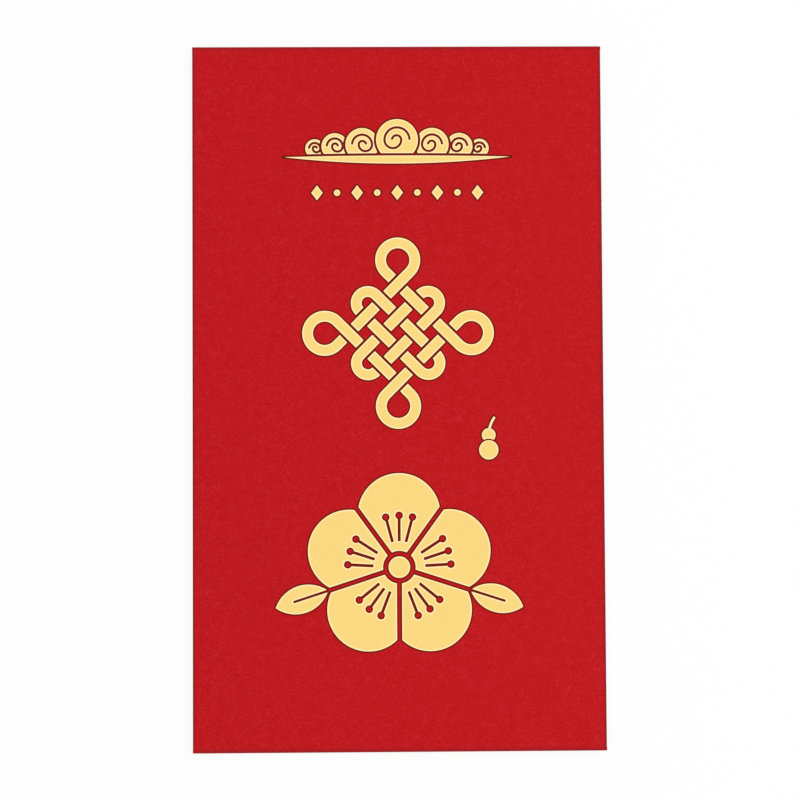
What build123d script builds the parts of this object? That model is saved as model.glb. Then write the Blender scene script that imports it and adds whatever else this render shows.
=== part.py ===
from build123d import *
import os

# A red envelope: one blank of card, creased, folded and glued, with raised gold foil on its front.
# The envelope lies on its back. The front faces +Z, +Y runs along it to the mouth, and the origin is
# at the middle of the surface that it lies on. All lengths are in millimetres.

# Envelope
width = 96.0
length = 165.0
card = 0.35
glue_film = 0.10
foil_relief = 0.20

# Back panel
back_edge_inset = 1.0
mouth_clearance = 0.30
throat_width = 52.0
throat_depth = 7.0

# Side tab and its seam
tab_width = 12.0
tab_clearance = 0.25
tab_end_slope = 6.0
side_glue_width = 7.0
side_glue_end_margin = 8.0

# Bottom flap and its seam
bottom_flap_reach = 22.0
bottom_flap_root_inset = 1.0
bottom_flap_taper = 5.0
bottom_flap_corner = 4.0
bottom_glue_height = 9.0
bottom_glue_tip_margin = 4.0
bottom_glue_end_margin = 8.0

# Closing flap
top_flap_reach = 36.0
top_flap_root_inset = 1.0
top_flap_taper = 7.0
top_flap_corner = 7.0
top_flap_root_gap = 0.05

# Blossom foil, lowest on the front
blossom_place_share = 0.257
petal_count = 5
petal_radius = 9.6
petal_throw = 12.2
petal_gap = 1.2
blossom_hollow_radius = 3.8
blossom_button_radius = 2.5
stamen_start = 6.0
stamen_end = 12.0
stamen_width = 0.7
stamen_tip_radius = 0.9
stamen_fan_angle = 15.0

# Leaf foil, in the notches beside the two lower petals
leaf_root_distance = 17.4
leaf_length = 12.8
leaf_half_width = 3.2
leaf_vein_width = 0.6
leaf_vein_length = 8.5

# Gourd foil, at the right between blossom and knot
gourd_right = 21.0
gourd_place_share = 0.437
gourd_base_radius = 2.25
gourd_top_radius = 1.60
gourd_waist_overlap = 0.40
gourd_waist_groove = 0.35
gourd_stem_width = 0.55
gourd_stem_height = 4.2
gourd_stem_lean = 1.4

# Knot foil, in the middle of the front
knot_place_share = 0.591
knot_strands = 4
knot_pitch = 5.4
knot_band = 2.5
knot_gap = 0.6
knot_loop_radius = 4.0

# Bead row foil
bead_row_place_share = 0.793
bead_row_count = 9
bead_pitch = 4.7
lozenge_width = 2.7
lozenge_height = 3.5
bead_radius = 0.75

# Cloud foil, highest on the front
cloud_place_share = 0.835
cloud_span = 53.4
cloud_tail_rise = 1.6
cloud_tail_depth = 1.9
cloud_groove = 0.55
centre_curl_radius = 4.9
centre_curl_rise = 5.6
inner_curl_radius = 3.9
inner_curl_reach = 8.2
inner_curl_rise = 4.5
outer_curl_radius = 3.1
outer_curl_reach = 14.6
outer_curl_rise = 4.1
end_curl_radius = 2.2
end_curl_reach = 19.3
end_curl_rise = 3.6
curl_radius_shares = (0.60, 0.40, 0.22)

# Levels up through the thickness, from the outside of the flaps to the face of the foil
pocket = tab_clearance + card + glue_film
flap_face = 0
flap_inside = flap_face + card
back_face = flap_inside + glue_film
back_inside = back_face + card
tab_back = back_inside + glue_film
tab_front = tab_back + card
front_inside = back_inside + pocket
front_face = front_inside + card

# Creases: each is a half tube of card between the two sheets that it joins
left_crease_inner = (front_inside - tab_front) / 2
right_crease_inner = (front_inside - back_inside) / 2
flap_crease_inner = (front_inside - flap_inside) / 2
left_crease_x = -width / 2 + left_crease_inner + card
right_crease_x = width / 2 - right_crease_inner - card
bottom_crease_y = -length / 2 + flap_crease_inner + card
top_crease_y = length / 2 - flap_crease_inner - card
left_crease_z = (front_inside + tab_front) / 2
right_crease_z = (front_inside + back_inside) / 2
flap_crease_z = (front_inside + flap_inside) / 2
panel_width = right_crease_x - left_crease_x
panel_length = top_crease_y - bottom_crease_y
panel_middle_x = (right_crease_x + left_crease_x) / 2

# Places of the foil ornaments along the front panel, and sizes that several lines of them take
blossom_y = bottom_crease_y + blossom_place_share * panel_length
gourd_waist_y = bottom_crease_y + gourd_place_share * panel_length
knot_y = bottom_crease_y + knot_place_share * panel_length
bead_row_y = bottom_crease_y + bead_row_place_share * panel_length
cloud_y = bottom_crease_y + cloud_place_share * panel_length
blossom_radius = petal_throw + petal_radius
knot_half_lattice = knot_pitch * (knot_strands - 1) / 2
knot_loop_centre = knot_half_lattice + knot_loop_radius

half_turn = 180
quarter_turn = 90
knot_turn = 45


def level(z, x=0.0, y=0.0, turn=0.0):
    """Plane at that height that faces up, turned anticlockwise from +X right and +Y ahead."""
    return Plane(origin=(x, y, z), x_dir=Vector(1, 0, 0).rotate(Axis.Z, turn), z_dir=(0, 0, 1))


def save(builder, label):
    """Name a finished piece and write it to its own file."""
    builder.part.label = label
    export_step(builder.part, f"parts/{label}.step")


def crease(centre, inner_radius, start_angle):
    """Half ring as thick as the card: the section through a folded crease."""
    with BuildLine() as section:
        outer = CenterArc(centre, inner_radius + card, start_angle, half_turn)
        inner = CenterArc(centre, inner_radius, start_angle, half_turn)
        Line(outer @ 0, inner @ 0)
        Line(outer @ 1, inner @ 1)
    make_face(section.edges())


def flap_outline(root_inset, taper, reach, corner, root_gap=0.0):
    """Tapered flap that reaches up from its root, with its two tip corners rounded."""
    root = width / 2 - root_inset
    tip = root - taper
    with BuildLine() as outline:
        Polyline((-root, root_gap), (root, root_gap), (tip, reach), (-tip, reach), close=True)
    make_face(outline.edges())
    fillet(vertices().sort_by(Axis.Y)[-2:], corner)


os.makedirs("parts", exist_ok=True)

# Front panel
with BuildPart() as front_panel:
    with BuildSketch(level(front_inside, panel_middle_x)):
        Rectangle(panel_width, panel_length)
    extrude(amount=card)
save(front_panel, "front_panel")

# Back panel, with an arched throat cut in its upper edge
back_left_x = -width / 2 + back_edge_inset
mouth_y = top_crease_y - mouth_clearance
with BuildPart() as back_panel:
    with BuildSketch(level(back_face)):
        with Locations((back_left_x, bottom_crease_y)):
            Rectangle(
                right_crease_x - back_left_x,
                mouth_y - bottom_crease_y,
                align=(Align.MIN, Align.MIN),
            )
        with BuildLine():
            throat = ThreePointArc(
                (-throat_width / 2, mouth_y),
                (0, mouth_y - throat_depth),
                (throat_width / 2, mouth_y),
            )
            Line(throat @ 0, throat @ 1)
        make_face(mode=Mode.SUBTRACT)
    extrude(amount=card)
save(back_panel, "back_panel")

# Side tab, mitred at both ends
with BuildPart() as side_tab:
    with BuildSketch(level(tab_back, left_crease_x)):
        with BuildLine():
            Polyline(
                (0, bottom_crease_y),
                (tab_width, bottom_crease_y + tab_end_slope),
                (tab_width, top_crease_y - tab_end_slope),
                (0, top_crease_y),
                close=True,
            )
        make_face()
    extrude(amount=card)
save(side_tab, "side_tab")

# Glue film between side tab and back panel
side_glue_length = panel_length - 2 * (tab_end_slope + side_glue_end_margin)
with BuildPart() as side_seam_glue:
    with BuildSketch(level(back_inside, left_crease_x + tab_width / 2)):
        SlotOverall(side_glue_length, side_glue_width, rotation=quarter_turn)
    extrude(amount=glue_film)
save(side_seam_glue, "side_seam_glue")

# Bottom flap
with BuildPart() as bottom_flap:
    with BuildSketch(level(flap_face, 0, bottom_crease_y)):
        flap_outline(bottom_flap_root_inset, bottom_flap_taper, bottom_flap_reach, bottom_flap_corner)
    extrude(amount=card)
save(bottom_flap, "bottom_flap")

# Glue film between bottom flap and back panel
bottom_glue_width = width - 2 * (bottom_flap_root_inset + bottom_flap_taper + bottom_glue_end_margin)
bottom_glue_y = bottom_crease_y + bottom_flap_reach - bottom_glue_tip_margin - bottom_glue_height / 2
with BuildPart() as bottom_seam_glue:
    with BuildSketch(level(flap_inside, 0, bottom_glue_y)):
        SlotOverall(bottom_glue_width, bottom_glue_height)
    extrude(amount=glue_film)
save(bottom_seam_glue, "bottom_seam_glue")

# Closing flap, folded down behind the back panel
with BuildPart() as top_flap:
    with BuildSketch(level(flap_face, 0, top_crease_y, half_turn)):
        flap_outline(
            top_flap_root_inset, top_flap_taper, top_flap_reach, top_flap_corner, top_flap_root_gap
        )
    extrude(amount=card)
save(top_flap, "top_flap")

# Creases along the long edges
with BuildPart() as left_fold:
    with BuildSketch(Plane.XZ.offset(-top_crease_y)):
        crease((left_crease_x, left_crease_z), left_crease_inner, quarter_turn)
    extrude(amount=panel_length)
save(left_fold, "left_fold")

with BuildPart() as right_fold:
    with BuildSketch(Plane.XZ.offset(-top_crease_y)):
        crease((right_crease_x, right_crease_z), right_crease_inner, -quarter_turn)
    extrude(amount=panel_length)
save(right_fold, "right_fold")

# Creases along the short edges, which run the whole width
with BuildPart() as bottom_fold:
    with BuildSketch(Plane.YZ.offset(-width / 2)):
        crease((bottom_crease_y, flap_crease_z), flap_crease_inner, quarter_turn)
    extrude(amount=width)
save(bottom_fold, "bottom_fold")

with BuildPart() as top_fold:
    with BuildSketch(Plane.YZ.offset(-width / 2)):
        crease((top_crease_y, flap_crease_z), flap_crease_inner, -quarter_turn)
    extrude(amount=width)
save(top_fold, "top_fold")

# Blossom petals: overlapping discs parted by straight gaps, with three stamens cut into each
petal_step = 2 * half_turn / petal_count
stamen_length = stamen_end - stamen_start
stamen_middle = (stamen_start + stamen_end) / 2
with BuildPart() as blossom_petals:
    with BuildSketch(level(front_face, 0, blossom_y)):
        with PolarLocations(petal_throw, petal_count, quarter_turn):
            Circle(petal_radius)
        with PolarLocations(0, petal_count, quarter_turn + petal_step / 2):
            Rectangle(
                blossom_radius, petal_gap, align=(Align.MIN, Align.CENTER), mode=Mode.SUBTRACT
            )
        Circle(blossom_hollow_radius, mode=Mode.SUBTRACT)
        for turn in (-stamen_fan_angle, 0, stamen_fan_angle):
            with PolarLocations(stamen_middle, petal_count, quarter_turn + turn):
                Rectangle(stamen_length, stamen_width, mode=Mode.SUBTRACT)
            with PolarLocations(stamen_end, petal_count, quarter_turn + turn):
                Circle(stamen_tip_radius, mode=Mode.SUBTRACT)
    extrude(amount=foil_relief)
save(blossom_petals, "blossom_petals_foil")

# Button in the middle of the blossom
with BuildPart() as blossom_centre:
    with BuildSketch(level(front_face, 0, blossom_y)):
        Circle(blossom_button_radius)
    extrude(amount=foil_relief)
save(blossom_centre, "blossom_centre_foil")

# Leaves: two arcs from root to tip, with a vein cut from the root
leaf_middle = leaf_root_distance + leaf_length / 2
leaf_tip_distance = leaf_root_distance + leaf_length
leaf_turn = quarter_turn - petal_step * 3 / 2
with BuildPart() as leaves:
    for turn in (leaf_turn, half_turn - leaf_turn):
        with BuildSketch(level(front_face, 0, blossom_y, turn)):
            with BuildLine():
                ThreePointArc(
                    (leaf_root_distance, 0), (leaf_middle, leaf_half_width), (leaf_tip_distance, 0)
                )
                ThreePointArc(
                    (leaf_root_distance, 0), (leaf_middle, -leaf_half_width), (leaf_tip_distance, 0)
                )
            make_face()
            with Locations((leaf_root_distance, 0)):
                Rectangle(
                    leaf_vein_length,
                    leaf_vein_width,
                    align=(Align.MIN, Align.CENTER),
                    mode=Mode.SUBTRACT,
                )
        extrude(amount=foil_relief)
save(leaves, "leaf_foil")

# Gourd: two discs with a groove at the waist and a leaning stem
gourd_rise = gourd_top_radius - gourd_waist_overlap
with BuildPart() as gourd:
    with BuildSketch(level(front_face, gourd_right, gourd_waist_y)):
        with Locations((0, gourd_rise)):
            Circle(gourd_top_radius)
        with Locations((0, -gourd_base_radius)):
            Circle(gourd_base_radius + gourd_waist_groove, mode=Mode.SUBTRACT)
            Circle(gourd_base_radius)
        with BuildLine():
            ThreePointArc(
                (0, gourd_rise),
                (gourd_stem_lean / 4, gourd_rise + gourd_stem_height / 2),
                (gourd_stem_lean, gourd_rise + gourd_stem_height),
            )
        trace(line_width=gourd_stem_width)
    extrude(amount=foil_relief)
save(gourd, "gourd_foil")

# Knot: a woven lattice turned on its point, with a loop at each corner and a turn on each side
knot_lines = [knot_pitch * place - knot_half_lattice for place in range(knot_strands)]
knot_cell = knot_band + 2 * knot_gap
knot_turn_start = knot_half_lattice + knot_cell / 2
with BuildPart() as knot:
    with BuildSketch(level(front_face, 0, knot_y, knot_turn)):
        for line in knot_lines:
            outermost = abs(line) > knot_pitch
            reach = knot_loop_centre if outermost else knot_turn_start
            with Locations((0, line)):
                Rectangle(2 * reach, knot_band)
            with Locations((line, 0)):
                Rectangle(knot_band, 2 * reach)
        for side in range(4):
            turn = side * quarter_turn
            with BuildLine(Plane.XY.rotated((0, 0, turn))):
                CenterArc((knot_turn_start, 0), knot_pitch / 2, -quarter_turn, half_turn)
            trace(line_width=knot_band)
            with BuildLine(Plane.XY.rotated((0, 0, turn))):
                loop_centre = (knot_loop_centre, knot_loop_centre)
                CenterArc(loop_centre, knot_loop_radius, -quarter_turn, 3 * quarter_turn)
            trace(line_width=knot_band)
        for row, across in enumerate(knot_lines):
            for column, along in enumerate(knot_lines):
                over_angle = quarter_turn * ((row + column) % 2)
                with Locations((along, across)):
                    Rectangle(knot_cell, knot_cell, mode=Mode.SUBTRACT)
                    Rectangle(knot_cell, knot_band, rotation=over_angle)
    extrude(amount=foil_relief)
save(knot, "knot_foil")

# Bead row: lozenges with a round bead between each two
with BuildPart() as bead_row:
    with BuildSketch(level(front_face, 0, bead_row_y)):
        for place in range(bead_row_count):
            with Locations((bead_pitch * (place - (bead_row_count - 1) / 2), 0)):
                if place % 2:
                    Circle(bead_radius)
                else:
                    Polygon(
                        (lozenge_width / 2, 0),
                        (0, lozenge_height / 2),
                        (-lozenge_width / 2, 0),
                        (0, -lozenge_height / 2),
                    )
    extrude(amount=foil_relief)
save(bead_row, "bead_row_foil")


# Cloud: seven curls on a crescent tail, each parted by a groove from the one in front of it.
# The centre curl is drawn first and once more last, because it stands in front of the others.
def curl_scroll(x, y, radius, hand):
    """Scroll cut into a curl: half circles of falling radius, each starting where the last ends."""
    side = hand
    start = x + side * curl_radius_shares[0] * radius
    with BuildLine() as scroll:
        for share in curl_radius_shares:
            middle = start - side * share * radius
            start_angle = 0 if side > 0 else half_turn
            CenterArc((middle, y), share * radius, start_angle, half_turn * hand)
            start = middle - side * share * radius
            side = -side
    trace(scroll.edges(), line_width=cloud_groove, mode=Mode.SUBTRACT)


side_curls = (
    (end_curl_radius, end_curl_reach, end_curl_rise),
    (outer_curl_radius, outer_curl_reach, outer_curl_rise),
    (inner_curl_radius, inner_curl_reach, inner_curl_rise),
)
tail_tip = Vector(cloud_span / 2, cloud_tail_rise)
with BuildPart() as cloud:
    with BuildSketch(level(front_face, 0, cloud_y)):
        with Locations((0, centre_curl_rise)):
            Circle(centre_curl_radius)
        for radius, reach, rise in side_curls:
            with Locations((-reach, rise), (reach, rise)):
                Circle(radius + cloud_groove, mode=Mode.SUBTRACT)
                Circle(radius)
            for hand in (-1, 1):
                curl_scroll(hand * reach, rise, radius, hand)
        with Locations((0, centre_curl_rise)):
            Circle(centre_curl_radius + cloud_groove, mode=Mode.SUBTRACT)
            Circle(centre_curl_radius)
        curl_scroll(0, centre_curl_rise, centre_curl_radius, 1)
        with BuildLine():
            tail_top = ThreePointArc((-tail_tip.X, tail_tip.Y), (0, cloud_tail_depth), tail_tip)
        trace(tail_top, line_width=2 * cloud_groove, mode=Mode.SUBTRACT)
        with BuildLine():
            add(tail_top)
            ThreePointArc(tail_top @ 0, (0, 0), tail_top @ 1)
        make_face()
    extrude(amount=foil_relief)
save(cloud, "cloud_foil")
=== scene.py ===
import math
import bpy
import numpy as np
from mathutils import Euler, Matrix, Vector


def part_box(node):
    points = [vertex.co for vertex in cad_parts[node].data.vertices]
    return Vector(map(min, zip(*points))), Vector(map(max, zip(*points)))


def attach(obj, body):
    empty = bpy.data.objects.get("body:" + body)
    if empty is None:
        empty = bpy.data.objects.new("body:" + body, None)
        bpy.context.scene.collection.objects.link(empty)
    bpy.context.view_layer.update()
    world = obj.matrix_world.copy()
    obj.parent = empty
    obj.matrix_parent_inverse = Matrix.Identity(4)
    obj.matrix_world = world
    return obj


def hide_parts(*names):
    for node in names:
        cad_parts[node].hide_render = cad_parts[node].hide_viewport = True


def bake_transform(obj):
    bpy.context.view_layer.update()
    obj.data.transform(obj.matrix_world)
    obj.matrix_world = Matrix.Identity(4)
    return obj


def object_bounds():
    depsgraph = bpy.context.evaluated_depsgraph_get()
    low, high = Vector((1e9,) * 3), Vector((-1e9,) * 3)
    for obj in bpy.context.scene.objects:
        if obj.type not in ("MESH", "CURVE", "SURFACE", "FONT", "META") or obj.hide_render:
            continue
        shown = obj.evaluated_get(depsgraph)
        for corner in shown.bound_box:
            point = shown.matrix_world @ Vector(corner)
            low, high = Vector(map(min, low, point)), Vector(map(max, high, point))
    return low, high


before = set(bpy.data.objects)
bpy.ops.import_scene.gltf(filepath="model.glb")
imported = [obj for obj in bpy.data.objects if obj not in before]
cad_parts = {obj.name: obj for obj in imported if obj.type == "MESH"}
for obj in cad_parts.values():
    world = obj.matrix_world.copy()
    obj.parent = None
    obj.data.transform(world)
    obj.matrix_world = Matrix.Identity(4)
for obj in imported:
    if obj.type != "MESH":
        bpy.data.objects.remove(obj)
cad_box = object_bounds()

# The envelope lies on its back: +X is right, +Y runs to the mouth and +Z is up. Lengths are in metres.
mm = 0.001

# Creases and levels, read from the frame
front_low, front_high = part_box("front_panel")
back_low, back_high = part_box("back_panel")
tab_low, tab_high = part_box("side_tab")
bottom_flap_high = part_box("bottom_flap")[1]
top_flap_low, top_flap_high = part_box("top_flap")
left_x, right_x = front_low.x, front_high.x
bottom_y, top_y = front_low.y, front_high.y
half_card = (front_high.z - front_low.z) / 2
front_level = (front_low.z + front_high.z) / 2
back_level = (back_low.z + back_high.z) / 2
tab_level = (tab_low.z + tab_high.z) / 2
flap_level = (top_flap_low.z + top_flap_high.z) / 2
half_width = (cad_box[1].x - cad_box[0].x) / 2

# Cut shapes of the blank. A flap narrows to its root over a part of the crease's turn.
throat_half_width = 26 * mm
throat_depth = 7 * mm
tab_mitre = 6 * mm
bottom_flap_taper = 5 * mm
bottom_flap_corner = 4 * mm
top_flap_taper = 7 * mm
top_flap_corner = 7 * mm
narrowing_shares = (0.5, 1)

# The pocket's spring lifts the middle of the front, and the card is never quite flat: a slow ripple has a
# wave length and a phase across the front and along it
crown_height = 0.55 * mm
ripple_height = 0.05 * mm
ripple_lengths = (61 * mm, 83 * mm)
ripple_phases = (0.7, 1.1)

# Painted shade darkens a crease. Its strength is given for the side creases, the two end creases and a flap's
# root. Where the flat card begins it is a share of the crease's, and it fades over the width of the score.
side_crease_shade = 0.95
end_crease_shade = 0.60
flap_root_shade = 0.85
score_shade_share = 0.28
score_width = 0.45 * mm

# Steps of the card's grids
card_step = 1.1 * mm
bend_steps = 14

# Stamping: a foil ornament is a relief with a rounded shoulder and a pressed line of painted shade round it.
# Its grid has a step, a turn in degrees that lines it up with the ornament, and a number of sectors
# about the blossom's middle that share it out among pieces.
foil_grids = {
    "blossom_petals_foil": (0.12 * mm, 0, 5),
    "blossom_centre_foil": (0.10 * mm, 0, 1),
    "leaf_foil": (0.10 * mm, 0, 1),
    "gourd_foil": (0.08 * mm, 0, 1),
    "knot_foil": (0.14 * mm, 45, 1),
    "bead_row_foil": (0.08 * mm, 0, 1),
    "cloud_foil": (0.09 * mm, 0, 1),
}
foil_film = 0.03 * mm

# The shoulder rises between two distances inside the outline. The pressed card is lifted a little off the
# panel as far as a margin outside the outline, where its border is tucked below the panel's face.
shoulder_foot = -0.10 * mm
shoulder_top = 0.20 * mm
press_lift = 0.012 * mm
press_margin = 0.55 * mm
press_tuck = 0.02 * mm

# The outline's corners are rounded to a grain, and distances are measured up to a reach, some rows at a time
outline_grain = 0.0001 * mm
outline_reach = 0.80 * mm
rows_at_once = 8

# Camera
lens_mm = 85
view_distance = 441.4 * mm
view_aim = Vector((0.38 * mm, -0.76 * mm, 1.1 * mm))
view_turn = Euler((math.radians(2.33), math.radians(-0.78), math.radians(-0.32)))
nearest_seen = 10 * mm

# Lights: a white room that lights the envelope with a share of its white, four level strips round it, and
# a nearer key light that the foil doesn't mirror
room_light = 0.595
strip_ways = {"right_light": (1, 0), "left_light": (-1, 0), "head_light": (0, 1), "foot_light": (0, -1)}
strip_size = (1200 * mm, 800 * mm)
strip_away = 700 * mm
strip_up = 580 * mm
strip_watts = 0.85
key_size = (1400 * mm, 400 * mm)
key_spot = (420 * mm, 40 * mm, 400 * mm)
key_watts = 2.05

# Floor: a little below the envelope, and plain white to the eye by a share that grows with the distance
floor_reach = 3000 * mm
floor_drop = 0.05 * mm
floor_white_range = (100 * mm, 350 * mm)
floor_white_shares = (0.88, 1)

# Colours, in linear light
red_face = (0.507, 0.0038, 0.0080, 1)
red_face_deep = (0.446, 0.0002, 0.0024, 1)
red_face_pale = (0.572, 0.0185, 0.0243, 1)
red_inside = (0.430, 0.012, 0.014, 1)
red_inside_pale = (0.540, 0.030, 0.030, 1)
red_cut = (0.560, 0.060, 0.055, 1)
# painted shade that darkens the card on a crease
red_crease_shade = (0.190, 0.006, 0.008, 1)
# painted shade in the pressed step round each foil ornament
press_line_shade = (0.150, 0.006, 0.002, 1)
gold = (0.962, 0.700, 0.233, 1)
gold_deep = (0.938, 0.676, 0.219, 1)
# painted highlight along the foil's rim
gold_rim_highlight = (0.965, 0.745, 0.39, 1)
gold_edge_tint = (0.97, 0.82, 0.50, 1)
glue_clear = (0.80, 0.76, 0.64, 1)
glue_cloudy = (0.88, 0.86, 0.80, 1)
floor_grey = (0.92, 0.92, 0.92, 1)
white = (1, 1, 1, 1)

# Fibre of the card: three noises, each with its features a metre, octaves and roughness, and their shares in
# the tone and in the height of the tooth
tooth_noise = (3600, 3, 0.65)
fleck_noise = (1500, 2, 0.5)
cloud_noise = (450, 2, 0.5)
tone_shares = (0.66, 0.20, 0.14)
height_shares = (0.7, 0.3)
tooth_depth = 0.02 * mm

# Tones of the fibre that a finish changes between
deep_tones = (0.35, 0.50)
pale_tones = (0.50, 0.65)
all_tones = (0.35, 0.65)
inner_tones = (0.40, 0.60)
foil_tones = (0.36, 0.64)

# Red card: where the face turns to the inside, and how the fibre breaks up the crease's painted shade and the
# cut
inside_turn = (0.45, 0.55)
crease_shade_range = (1, 0.8)
cut_strength = (0.5, 1)
card_roughness = (0.58, 0.72)
card_specular = 0.12
card_tooth = 0.5

# Gold foil, in millimetres inside its outline: where it begins, its painted rim highlight fades and the
# painted shade of the pressed line darkens
foil_edge = (-0.03, 0.03)
rim_highlight_fade = (0.16, 0.46)
press_shade_edge = (-0.44, -0.26)
foil_roughness = (0.238, 0.268)
press_roughness = 0.65
foil_tooth = 0.06

# Dried glue: two noises as for the fibre, and the parts of them that show
patch_noise = (240, 4, 0.6)
patch_range = (0.40, 0.60)
skin_noise = (900, 3, 0.6)
skin_range = (0.35, 0.65)
skin_depth = 0.03 * mm
glue_roughness = (0.25, 0.5)
glue_tooth = 0.4


def make_piece(name, points, faces, material, **values):
    """Mesh object from points (n, 3), faces (m, 4), and a number for each point by attribute name."""
    mesh = bpy.data.meshes.new(name)
    mesh.vertices.add(len(points))
    mesh.vertices.foreach_set("co", points.astype(np.float32).ravel())
    mesh.loops.add(faces.size)
    mesh.loops.foreach_set("vertex_index", faces.astype(np.int32).ravel())
    mesh.polygons.add(len(faces))
    mesh.polygons.foreach_set("loop_start", np.arange(0, faces.size, 4, dtype=np.int32))
    mesh.polygons.foreach_set("use_smooth", np.ones(len(faces), dtype=bool))
    for key, numbers in values.items():
        attribute = mesh.attributes.new(key, "FLOAT", "POINT")
        attribute.data.foreach_set("value", numbers.astype(np.float32).ravel())
    mesh.update(calc_edges=True)
    mesh.validate()
    mesh.materials.append(material)
    piece = bpy.data.objects.new(name, mesh)
    bpy.context.scene.collection.objects.link(piece)
    return piece


def grid_faces(rows, columns):
    """Quads of a grid numbered row by row, each turning from the columns' way to the rows' way."""
    number = np.arange(rows * columns).reshape(rows, columns)
    corners = (number[:-1, :-1], number[:-1, 1:], number[1:, 1:], number[1:, :-1])
    return np.stack(corners, axis=-1).reshape(-1, 4)


def smooth_rise(value, low, high):
    """0 below low, 1 above high, and 3 t^2 - 2 t^3 between them."""
    share = np.clip((value - low) / (high - low), 0, 1)
    return share**2 * (3 - 2 * share)


def card_piece(name, outer, inner, crease, material):
    """Closed sheet of card from two grids (rows, columns, 3).

    The outer grid keeps its way round, the inner grid is turned over, and a strip of quads with points
    of its own joins their borders. Attributes: inside is 0 on the outer grid, 1 on the inner grid and a half
    on the strip, cut is 1 on the strip alone, and crease is the given grid.
    """
    rows, columns = outer.shape[:2]
    count = rows * columns
    number = np.arange(count).reshape(rows, columns)
    border = np.concatenate([number[0, :-1], number[:-1, -1], number[-1, :0:-1], number[:0:-1, 0]])
    size = len(border)
    outer, inner, crease = outer.reshape(-1, 3), inner.reshape(-1, 3), crease.ravel()
    points = np.concatenate([outer, inner, outer[border], inner[border]])
    front = grid_faces(rows, columns)
    near = 2 * count + np.arange(size)
    far = near + size
    strip = np.stack([near, far, np.roll(far, -1), np.roll(near, -1)], axis=-1)
    faces = np.concatenate([front, front[:, ::-1] + count, strip])
    inside = np.repeat([0.0, 1.0, 0.5], [count, count, 2 * size])
    cut = np.repeat([0.0, 1.0], [2 * count, 2 * size])
    crease = np.concatenate([crease, crease, crease[border], crease[border]])
    return make_piece(name, points, faces, material, inside=inside, cut=cut, crease=crease)


def scored(length):
    """Shares along a length: 0, even steps of about the card's step between the two scores, and 1."""
    score = score_width / length
    return np.concatenate([[0], np.linspace(score, 1 - score, math.ceil(length / card_step) + 1), [1]])


def run(start, stop, level, facing, first=0, last=0):
    """Flat run of card from start to stop at one level, facing up (1) or down (-1).

    The rows are: place, level, the normal's two parts, and the crease's strength, which is 0 but for the
    first and the last point, where it is the score's share of the crease there.
    """
    place = start + (stop - start) * scored(abs(stop - start))
    zeros = np.zeros(len(place))
    strength = np.concatenate([[first], zeros[1:-1], [last]]) * score_shade_share
    return np.stack([place, zeros + level, zeros, zeros + facing, strength])


def bend(place, level, radius, start, stop, darkness):
    """Half turn of card about a crease line, from one angle to another, in the rows that run gives.

    A point is the crease line plus the radius times cosine and sine, which are also the normal. The crease's
    strength is its darkness, times a rise from the score's share at both ends with the root of the sine.
    """
    share = np.linspace(0, 1, bend_steps + 1)
    angle = start + (stop - start) * share
    across, up = np.cos(angle), np.sin(angle)
    strength = darkness * (score_shade_share + (1 - score_shade_share) * np.sqrt(np.abs(np.sin(np.pi * share))))
    return np.stack([place + radius * across, level + radius * up, across, up, strength])


def path_of(*runs):
    """One path from runs that meet end to end, each shared point kept once."""
    return np.concatenate([runs[0]] + [later[:, 1:] for later in runs[1:]], axis=1)


def spring(x, y):
    """Lift of the front at (x, y): a crown and a slow ripple, both 0 with no slope at the creases.

    With u and v from -1 to 1 across and along the panel, the window is (1 - u^2)^2 (1 - v^4)^2. The lift
    is the window times the sum of the crown's height and the ripple, its height times two sines.
    """
    u = np.clip((2 * x - left_x - right_x) / (right_x - left_x), -1, 1)
    v = np.clip((2 * y - bottom_y - top_y) / (top_y - bottom_y), -1, 1)
    window = (1 - u**2) ** 2 * (1 - v**4) ** 2
    wave_across = np.sin(2 * np.pi * x / ripple_lengths[0] + ripple_phases[0])
    wave_along = np.sin(2 * np.pi * y / ripple_lengths[1] + ripple_phases[1])
    return window * (crown_height + ripple_height * wave_across * wave_along)


def throat(x):
    """Depth of the arched throat at x: the circle through its two ends and its deepest point."""
    radius = (throat_half_width**2 + throat_depth**2) / (2 * throat_depth)
    within = np.clip(np.abs(x), 0, throat_half_width)
    return np.sqrt(radius**2 - within**2) - (radius - throat_depth)


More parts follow.
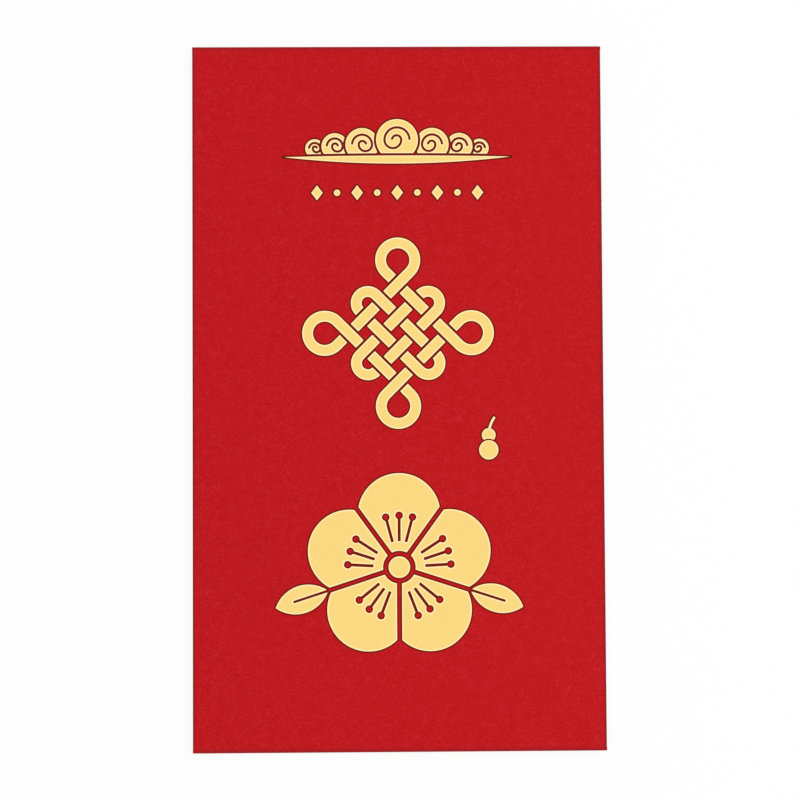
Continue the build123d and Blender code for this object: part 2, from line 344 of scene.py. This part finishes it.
def folded_sleeve(material):
    """The blank's girth in one sheet: side tab, left crease, front, right crease and back panel.

    The first parameter runs round the girth and gives x, z and the normal. The second runs along y
    between two limits for each place: the tab is mitred at both ends and the back has its throat.
    """
    tab = run(tab_high.x, left_x, tab_level, -1, last=side_crease_shade)
    left_radius = (front_level - tab_level) / 2
    left = bend(left_x, front_level - left_radius, left_radius, -np.pi / 2, -3 * np.pi / 2, side_crease_shade)
    front = run(left_x, right_x, front_level, 1, side_crease_shade, side_crease_shade)
    right_radius = (front_level - back_level) / 2
    right = bend(right_x, front_level - right_radius, right_radius, np.pi / 2, -np.pi / 2, side_crease_shade)
    back = path_of(
        run(right_x, throat_half_width, back_level, -1, first=side_crease_shade),
        run(throat_half_width, -throat_half_width, back_level, -1),
        run(-throat_half_width, back_low.x, back_level, -1),
    )
    place, level, across, up, crease = path_of(tab, left, front, right, back)
    on_tab = np.arange(len(place)) < tab.shape[1]
    on_back = np.arange(len(place)) > len(place) - back.shape[1]
    mitre = tab_mitre * np.clip((place - left_x) / (tab_high.x - left_x), 0, 1) * on_tab
    low = bottom_y + mitre
    high = np.where(on_back, back_high.y - throat(place), top_y - mitre)
    share = scored(top_y - bottom_y)[:, None]
    y = low + (high - low) * share
    lift = spring(np.broadcast_to(place, y.shape), y) * (up > 0)

    def face(offset):
        """Points of the sheet moved along its normal by an offset."""
        x = np.broadcast_to(place + across * offset, y.shape)
        return np.stack([x, y, level + up * offset + lift], axis=-1)

    at_ends = (share == 0) | (share == 1)
    strength = np.maximum(crease, end_crease_shade * score_shade_share * at_ends * (up == 1))
    piece = card_piece("folded_sleeve", face(half_card), face(-half_card), strength, material)
    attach(piece, "envelope")
    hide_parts("side_tab", "left_fold", "front_panel", "right_fold", "back_panel")


def flap_sheet(name, crease_y, hand, root, taper, reach, corner, material):
    """A crease and the flap behind it in one sheet, at the +Y end (hand 1) or the -Y end (hand -1).

    The first parameter runs from the front round the crease and along the flap. The second runs from
    side to side between two half widths: they narrow in the crease's second half to the flap's root, then
    along its tapered sides, and last round the tip's corners, each an arc that touches the side and the tip.
    """
    slope = taper / reach
    lean = math.atan(slope)
    arc_y = reach - corner
    arc_x = root - slope * arc_y - corner / math.cos(lean)
    radius = (front_level - flap_level) / 2
    turn = bend(0, (front_level + flap_level) / 2, radius, np.pi / 2, -np.pi / 2, end_crease_shade)
    side = run(0, -(arc_y + corner * math.sin(lean)), flap_level, -1, first=end_crease_shade)
    sweep = np.linspace(lean, np.pi / 2, bend_steps + 1)
    zeros = np.zeros(len(sweep))
    tip = np.stack([-(arc_y + corner * np.sin(sweep)), zeros + flap_level, zeros, zeros - 1, zeros])
    away, level, across, up, crease = path_of(turn, side, tip)
    crease[turn.shape[1] - 1] = flap_root_shade
    share = np.linspace(0, 1, turn.shape[1])
    half = np.concatenate([
        half_width + (root - half_width) * smooth_rise(share, *narrowing_shares),
        (root + slope * side[0])[1:],
        (arc_x + corner * np.cos(sweep))[1:],
    ])
    columns = math.ceil(2 * half_width / card_step) + 1
    x = hand * half[:, None] * np.linspace(-1, 1, columns)

    def face(offset):
        """Points of the sheet moved along its normal by an offset."""
        y = np.broadcast_to((crease_y + hand * (away + across * offset))[:, None], x.shape)
        z = np.broadcast_to((level + up * offset)[:, None], x.shape)
        return np.stack([x, y, z], axis=-1)

    strength = np.broadcast_to(crease[:, None], x.shape)
    return card_piece(name, face(half_card), face(-half_card), strength, material)


def bottom_wrap(material):
    """The bottom crease and the glued bottom flap."""
    root = bottom_flap_high.x
    reach = bottom_flap_high.y - bottom_y
    piece = flap_sheet(
        "bottom_wrap", bottom_y, -1, root, bottom_flap_taper, reach, bottom_flap_corner, material
    )
    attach(piece, "envelope")
    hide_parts("bottom_fold", "bottom_flap")


def closing_flap(material):
    """The top crease and the closing flap, with its placement baked into its points and no body of its own.
    """
    root = top_flap_high.x
    reach = top_y - top_flap_low.y
    piece = flap_sheet("closing_flap", top_y, 1, root, top_flap_taper, reach, top_flap_corner, material)
    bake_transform(piece)
    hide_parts("top_fold", "top_flap")


def outline_of(node):
    """Outline of a foil node as directed segments (m, 2, 2), with the foil on their left.

    They are the edges of its top face's triangles that no second triangle runs the other way.
    """
    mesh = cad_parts[node].data
    mesh.calc_loop_triangles()
    places = np.zeros(3 * len(mesh.vertices))
    mesh.vertices.foreach_get("co", places)
    corners = np.zeros(3 * len(mesh.loop_triangles), dtype=np.int64)
    mesh.loop_triangles.foreach_get("vertices", corners)
    keys, index = np.unique(np.round(places.reshape(-1, 3) / outline_grain), axis=0, return_inverse=True)
    triangles = index.ravel()[corners].reshape(-1, 3)
    top = triangles[(keys[triangles][:, :, 2] == keys[:, 2].max()).all(axis=1)]
    edges = np.concatenate([top[:, [0, 1]], top[:, [1, 2]], top[:, [2, 0]]])
    forward = edges[:, 0] * len(keys) + edges[:, 1]
    backward = edges[:, 1] * len(keys) + edges[:, 0]
    return keys[edges[~np.isin(forward, backward)]][:, :, :2] * outline_grain


def distance_inside(x, y, segments):
    """Signed distance from closed outlines on the grid of x (columns) and y (rows), above 0 inside.

    The size is the least distance to any segment, at most outline_reach, and a point is inside where a
    ray along +X crosses an odd number of segments. A few rows at a time take the segments near them.
    """
    start, way = segments[:, 0], segments[:, 1] - segments[:, 0]
    lowest, highest = segments[:, :, 1].min(axis=1), segments[:, :, 1].max(axis=1)
    bands = []
    for band in np.array_split(y, math.ceil(len(y) / rows_at_once)):
        near = (lowest < band[-1] + outline_reach) & (highest > band[0] - outline_reach)
        if not near.any():
            bands.append(np.full((len(band), len(x)), -outline_reach))
            continue
        way_x, way_y = way[near].T
        gap_x = x[None, :, None] - start[near, 0]
        gap_y = band[:, None, None] - start[near, 1]
        share = np.clip((gap_x * way_x + gap_y * way_y) / (way_x**2 + way_y**2), 0, 1)
        least = np.sqrt(((gap_x - share * way_x) ** 2 + (gap_y - share * way_y) ** 2).min(axis=-1))
        spans = (gap_y < 0) != (gap_y < way_y)
        crosses = spans & (gap_x * np.abs(way_y) < gap_y * way_x * np.sign(way_y))
        sign = 2 * (crosses.sum(axis=-1) % 2) - 1
        bands.append(sign * np.minimum(least, outline_reach))
    return np.concatenate(bands)


def relief_of(node, step, turn):
    """Relief of one foil ornament over a turned square grid: points, distance inside the outline, and cells.

    Cells outside the pressed margin are left out, and the points on the border of the rest move down the
    distance's slope to the margin itself. The height is the pressed card's, plus the rest of the relief times
    a smooth rise over the shoulder, and the border dips below the card's face.
    """
    cos, sin = math.cos(math.radians(turn)), math.sin(math.radians(turn))
    segments = outline_of(node) @ np.array([(cos, -sin), (sin, cos)])
    low = segments.min(axis=(0, 1)) - outline_reach
    high = segments.max(axis=(0, 1)) + outline_reach
    along = np.arange(low[0], high[0], step)
    across = np.arange(low[1], high[1], step)
    inside = distance_inside(along, across, segments)
    within = inside > -press_margin
    cells = within[:-1, :-1] & within[:-1, 1:] & within[1:, 1:] & within[1:, :-1]
    padded = np.pad(cells, 1).astype(int)
    around = padded[:-1, :-1] + padded[:-1, 1:] + padded[1:, 1:] + padded[1:, :-1]
    border = (around > 0) & (around < 4)
    slope_v, slope_u = np.gradient(inside, step)
    shift = np.where(border, inside + press_margin, 0)
    u, v = np.meshgrid(along, across)
    u, v = u - shift * slope_u, v - shift * slope_v
    inside = np.where(border, -press_margin, inside)
    x, y = cos * u - sin * v, sin * u + cos * v
    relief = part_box(node)[1].z - front_high.z
    height = press_lift + (relief - press_lift) * smooth_rise(inside, shoulder_foot, shoulder_top)
    height = np.where(border, -press_tuck, height)
    return np.stack([x, y, front_high.z + spring(x, y) + height], axis=-1), inside, cells


def sector_of(x, y, count):
    """Number of the sector about the blossom's middle that (x, y) is in, with one sector round +Y."""
    low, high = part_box("blossom_centre_foil")
    middle = (low + high) / 2
    turn = np.arctan2(middle.x - x, y - middle.y) / (2 * np.pi)
    return np.floor(turn * count + 0.5).astype(int) % count


def stamped_foil(node, step, turn, sectors, material):
    """One foil ornament as a thin film under its relief, in one piece or in one for each sector.

    A cell is in the sector of its first corner. The attribute edge is the distance inside in millimetres.
    """
    points, inside, cells = relief_of(node, step, turn)
    sector = sector_of(points[:-1, :-1, 0], points[:-1, :-1, 1], sectors)
    quads = grid_faces(*inside.shape)
    for number in range(sectors):
        chosen = cells & (sector == number)
        used, faces = np.unique(quads[chosen.ravel()], return_inverse=True)
        name = node.replace("_foil", "_relief") + (f"_{number + 1}" if sectors > 1 else "")
        edge = inside.ravel()[used] / mm
        piece = make_piece(name, points.reshape(-1, 3)[used], faces.reshape(-1, 4), material, edge=edge)
        film = piece.modifiers.new("film", "SOLIDIFY")
        film.thickness = foil_film
        film.offset = -1
        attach(piece, "envelope")
        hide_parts(node)


def set_inputs(node, inputs):
    """Set a node's inputs from pairs of socket and value, or link them where the value is a socket."""
    for key, value in inputs:
        if isinstance(value, bpy.types.NodeSocket):
            node.id_data.links.new(value, node.inputs[key])
        else:
            node.inputs[key].default_value = value


def add_node(tree, kind, inputs=(), **settings):
    """New node with its properties and then its inputs set."""
    node = tree.nodes.new(kind)
    for key, value in settings.items():
        setattr(node, key, value)
    set_inputs(node, inputs)
    return node


def empty_tree(owner):
    """Node tree of a new material or world, with nothing in it."""
    owner.use_nodes = True
    owner.node_tree.nodes.clear()
    return owner.node_tree


def noise(tree, where, scale, detail, roughness):
    """Value of a noise texture, with scale in features a metre."""
    inputs = [("Vector", where), ("Scale", scale), ("Detail", detail), ("Roughness", roughness)]
    return add_node(tree, "ShaderNodeTexNoise", inputs).outputs["Fac"]


def combine(tree, operation, first, second):
    """Value of a Math node on two values."""
    return add_node(tree, "ShaderNodeMath", [(0, first), (1, second)], operation=operation).outputs[0]


def weighted(tree, values, shares):
    """Sum of values, each times its share."""
    total = combine(tree, "MULTIPLY", values[0], shares[0])
    for value, share in zip(values[1:], shares[1:]):
        total = combine(tree, "ADD", total, combine(tree, "MULTIPLY", value, share))
    return total


def remap(tree, value, source, target=(0, 1)):
    """Value carried smoothly from one range to another."""
    inputs = [("Value", value), ("From Min", source[0]), ("From Max", source[1])]
    inputs += [("To Min", target[0]), ("To Max", target[1])]
    return add_node(tree, "ShaderNodeMapRange", inputs, interpolation_type="SMOOTHSTEP").outputs["Result"]


def mix_values(tree, share, first, second):
    """Value between two values, on the Mix node's number sockets."""
    return add_node(tree, "ShaderNodeMix", [(0, share), (2, first), (3, second)]).outputs[0]


def mix_colours(tree, share, first, second):
    """Colour between two colours, on the Mix node's colour sockets."""
    node = add_node(tree, "ShaderNodeMix", [(0, share), (6, first), (7, second)], data_type="RGBA")
    return node.outputs[2]


def point_value(tree, name):
    """Number of a point attribute."""
    return add_node(tree, "ShaderNodeAttribute", attribute_name=name).outputs["Fac"]


def bumped(tree, height, strength, depth):
    """Normal of a surface whose height goes up and down by a depth."""
    inputs = [("Strength", strength), ("Distance", depth), ("Height", height)]
    return add_node(tree, "ShaderNodeBump", inputs).outputs["Normal"]


def card_fibre_group():
    """Fibre of the card by place: a tone for its flecks and clouds, and a height for its tooth.

    The tone is the weighted sum of the three noises, and the height of the two finer ones.
    """
    tree = bpy.data.node_groups.new("card_fibre", "ShaderNodeTree")
    tree.interface.new_socket("Place", in_out="INPUT", socket_type="NodeSocketVector")
    tree.interface.new_socket("Tone", in_out="OUTPUT", socket_type="NodeSocketFloat")
    tree.interface.new_socket("Height", in_out="OUTPUT", socket_type="NodeSocketFloat")
    where = add_node(tree, "NodeGroupInput").outputs["Place"]
    tooth = noise(tree, where, *tooth_noise)
    fleck = noise(tree, where, *fleck_noise)
    cloud = noise(tree, where, *cloud_noise)
    tone = weighted(tree, (tooth, fleck, cloud), tone_shares)
    height = weighted(tree, (tooth, fleck), height_shares)
    add_node(tree, "NodeGroupOutput", [("Tone", tone), ("Height", height)])
    return tree


def fibre(tree, group, where):
    """The card's fibre placed in a material: its tone and its height."""
    node = add_node(tree, "ShaderNodeGroup", [("Place", where)], node_tree=group)
    return node.outputs["Tone"], node.outputs["Height"]


def new_material(name):
    """Node material with its tree, its Principled shader and the Object coordinates."""
    material = bpy.data.materials.new(name)
    tree = empty_tree(material)
    shader = add_node(tree, "ShaderNodeBsdfPrincipled")
    add_node(tree, "ShaderNodeOutputMaterial", [("Surface", shader.outputs[0])])
    where = add_node(tree, "ShaderNodeTexCoord").outputs["Object"]
    return material, tree, shader, where


def face_red(tree, tone):
    """Red of the card's face: deep to pale with the fibre's tone."""
    low = mix_colours(tree, remap(tree, tone, deep_tones), red_face_deep, red_face)
    return mix_colours(tree, remap(tree, tone, pale_tones), low, red_face_pale)


def red_card_material(group):
    """Matte red card: a flecked face, a duller red inside, a fibrous cut, and painted shade on a crease."""
    material, tree, shader, where = new_material("red_card")
    tone, height = fibre(tree, group, where)
    inside = mix_colours(tree, remap(tree, tone, inner_tones), red_inside, red_inside_pale)
    is_inside = remap(tree, point_value(tree, "inside"), inside_turn)
    colour = mix_colours(tree, is_inside, face_red(tree, tone), inside)
    # painted shade on the creases, broken up by the fibre's tone
    ink = remap(tree, tone, all_tones, crease_shade_range)
    crease_shade = combine(tree, "MULTIPLY", point_value(tree, "crease"), ink)
    colour = mix_colours(tree, crease_shade, colour, red_crease_shade)
    bare = remap(tree, tone, inner_tones, cut_strength)
    cut = combine(tree, "MULTIPLY", point_value(tree, "cut"), bare)
    set_inputs(shader, [
        ("Base Color", mix_colours(tree, cut, colour, red_cut)),
        ("Roughness", remap(tree, tone, all_tones, card_roughness)),
        ("Specular IOR Level", card_specular),
        ("Normal", bumped(tree, height, card_tooth, tooth_depth)),
    ])
    return material


def gold_foil_material(group):
    """Matte gold foil with a painted highlight along its rim, and the card's tooth faintly through it.

    The red card round it, which is part of the same relief, darkens to the pressed line's painted shade.
    """
    material, tree, shader, where = new_material("gold_foil")
    tone, height = fibre(tree, group, where)
    edge = point_value(tree, "edge")
    on_foil = remap(tree, edge, foil_edge)
    plain = mix_colours(tree, remap(tree, tone, foil_tones), gold_deep, gold)
    # painted highlight along the foil's rim
    rim_highlighted = mix_colours(tree, remap(tree, edge, rim_highlight_fade, (1, 0)), plain, gold_rim_highlight)
    # painted shade in the pressed step round the foil
    pressed = mix_colours(tree, remap(tree, edge, press_shade_edge), face_red(tree, tone), press_line_shade)
    satin = remap(tree, tone, all_tones, foil_roughness)
    set_inputs(shader, [
        ("Base Color", mix_colours(tree, on_foil, pressed, rim_highlighted)),
        ("Metallic", on_foil),
        ("Roughness", mix_values(tree, on_foil, press_roughness, satin)),
        ("Specular IOR Level", card_specular),
        ("Specular Tint", gold_edge_tint),
        ("Normal", bumped(tree, height, foil_tooth, tooth_depth)),
    ])
    return material


def dried_glue_material():
    """Dried paper glue: clear and cloudy patches with a brushed, uneven skin."""
    material, tree, shader, where = new_material("dried_glue")
    patch = noise(tree, where, *patch_noise)
    skin = noise(tree, where, *skin_noise)
    set_inputs(shader, [
        ("Base Color", mix_colours(tree, remap(tree, patch, patch_range), glue_clear, glue_cloudy)),
        ("Roughness", remap(tree, skin, skin_range, glue_roughness)),
        ("Normal", bumped(tree, skin, glue_tooth, skin_depth)),
    ])
    return material


def seen_directly(tree):
    """1 for rays that show a background: from the camera, a mirror or a glass."""
    path = add_node(tree, "ShaderNodeLightPath").outputs
    shown = combine(tree, "MAXIMUM", path["Is Camera Ray"], path["Is Glossy Ray"])
    return combine(tree, "MAXIMUM", shown, path["Is Transmission Ray"])


def pale_floor_material():
    """Matte pale grey that is mostly plain white to the eye: near by it keeps the envelope's faint shadow."""
    material = bpy.data.materials.new("pale_floor")
    tree = empty_tree(material)
    matte = add_node(tree, "ShaderNodeBsdfDiffuse", [("Color", floor_grey)]).outputs[0]
    glow = add_node(tree, "ShaderNodeEmission", [("Color", white), ("Strength", 1)]).outputs[0]
    where = add_node(tree, "ShaderNodeTexCoord").outputs["Object"]
    away = add_node(tree, "ShaderNodeVectorMath", [(0, where)], operation="LENGTH").outputs["Value"]
    whiteness = remap(tree, away, floor_white_range, floor_white_shares)
    share = combine(tree, "MULTIPLY", seen_directly(tree), whiteness)
    both = add_node(tree, "ShaderNodeMixShader", [(0, share), (1, matte), (2, glow)]).outputs[0]
    add_node(tree, "ShaderNodeOutputMaterial", [("Surface", both)])
    return material


def floor():
    """Square floor just under the envelope: the four corners of a level grid."""
    sides = np.array([-floor_reach, floor_reach])
    x, y = np.meshgrid(sides, sides)
    points = np.stack([x, y, np.full(x.shape, -floor_drop)], axis=-1).reshape(-1, 3)
    make_piece("floor", points, grid_faces(2, 2), pale_floor_material())


def soft_light(name, spot, size, watts):
    """Soft strip light at a spot, aimed at the middle of the envelope, with its length level."""
    lamp = bpy.data.lights.new(name, "AREA")
    lamp.shape = "RECTANGLE"
    lamp.size, lamp.size_y = size
    lamp.energy = watts
    holder = bpy.data.objects.new(name, lamp)
    holder.location = spot
    holder.rotation_euler = (-Vector(spot)).to_track_quat("-Z", "Y").to_euler()
    bpy.context.scene.collection.objects.link(holder)
    return holder


def light_room():
    """White room with its lights: full white to the eye and in reflections, less bright as a light."""
    world = bpy.data.worlds.new("white_room")
    bpy.context.scene.world = world
    tree = empty_tree(world)
    strength = remap(tree, seen_directly(tree), (0, 1), (room_light, 1))
    backdrop = add_node(tree, "ShaderNodeBackground", [("Color", white), ("Strength", strength)])
    add_node(tree, "ShaderNodeOutputWorld", [("Surface", backdrop.outputs[0])])
    for name, (way_x, way_y) in strip_ways.items():
        soft_light(name, (way_x * strip_away, way_y * strip_away, strip_up), strip_size, strip_watts)
    key = soft_light("key_light", key_spot, key_size, key_watts)
    key.visible_glossy = False


def camera():
    """Camera over the envelope, turned a little off square as the view was taken."""
    lens = bpy.data.cameras.new("camera")
    lens.lens = lens_mm
    lens.clip_start = nearest_seen
    holder = bpy.data.objects.new("camera", lens)
    holder.rotation_euler = view_turn
    holder.location = view_aim + view_turn.to_matrix() @ Vector((0, 0, view_distance))
    bpy.context.scene.collection.objects.link(holder)
    bpy.context.scene.camera = holder


bpy.context.scene.view_settings.view_transform = "Standard"
camera()
light_room()
floor()

card_fibre = card_fibre_group()
red_card = red_card_material(card_fibre)
gold_foil = gold_foil_material(card_fibre)
dried_glue = dried_glue_material()

folded_sleeve(red_card)
bottom_wrap(red_card)
closing_flap(red_card)
for foil_node, (foil_step, foil_turn, foil_sectors) in foil_grids.items():
    stamped_foil(foil_node, foil_step, foil_turn, foil_sectors, gold_foil)
for glue_node in ("side_seam_glue", "bottom_seam_glue"):
    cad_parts[glue_node].data.materials.clear()
    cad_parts[glue_node].data.materials.append(dried_glue)
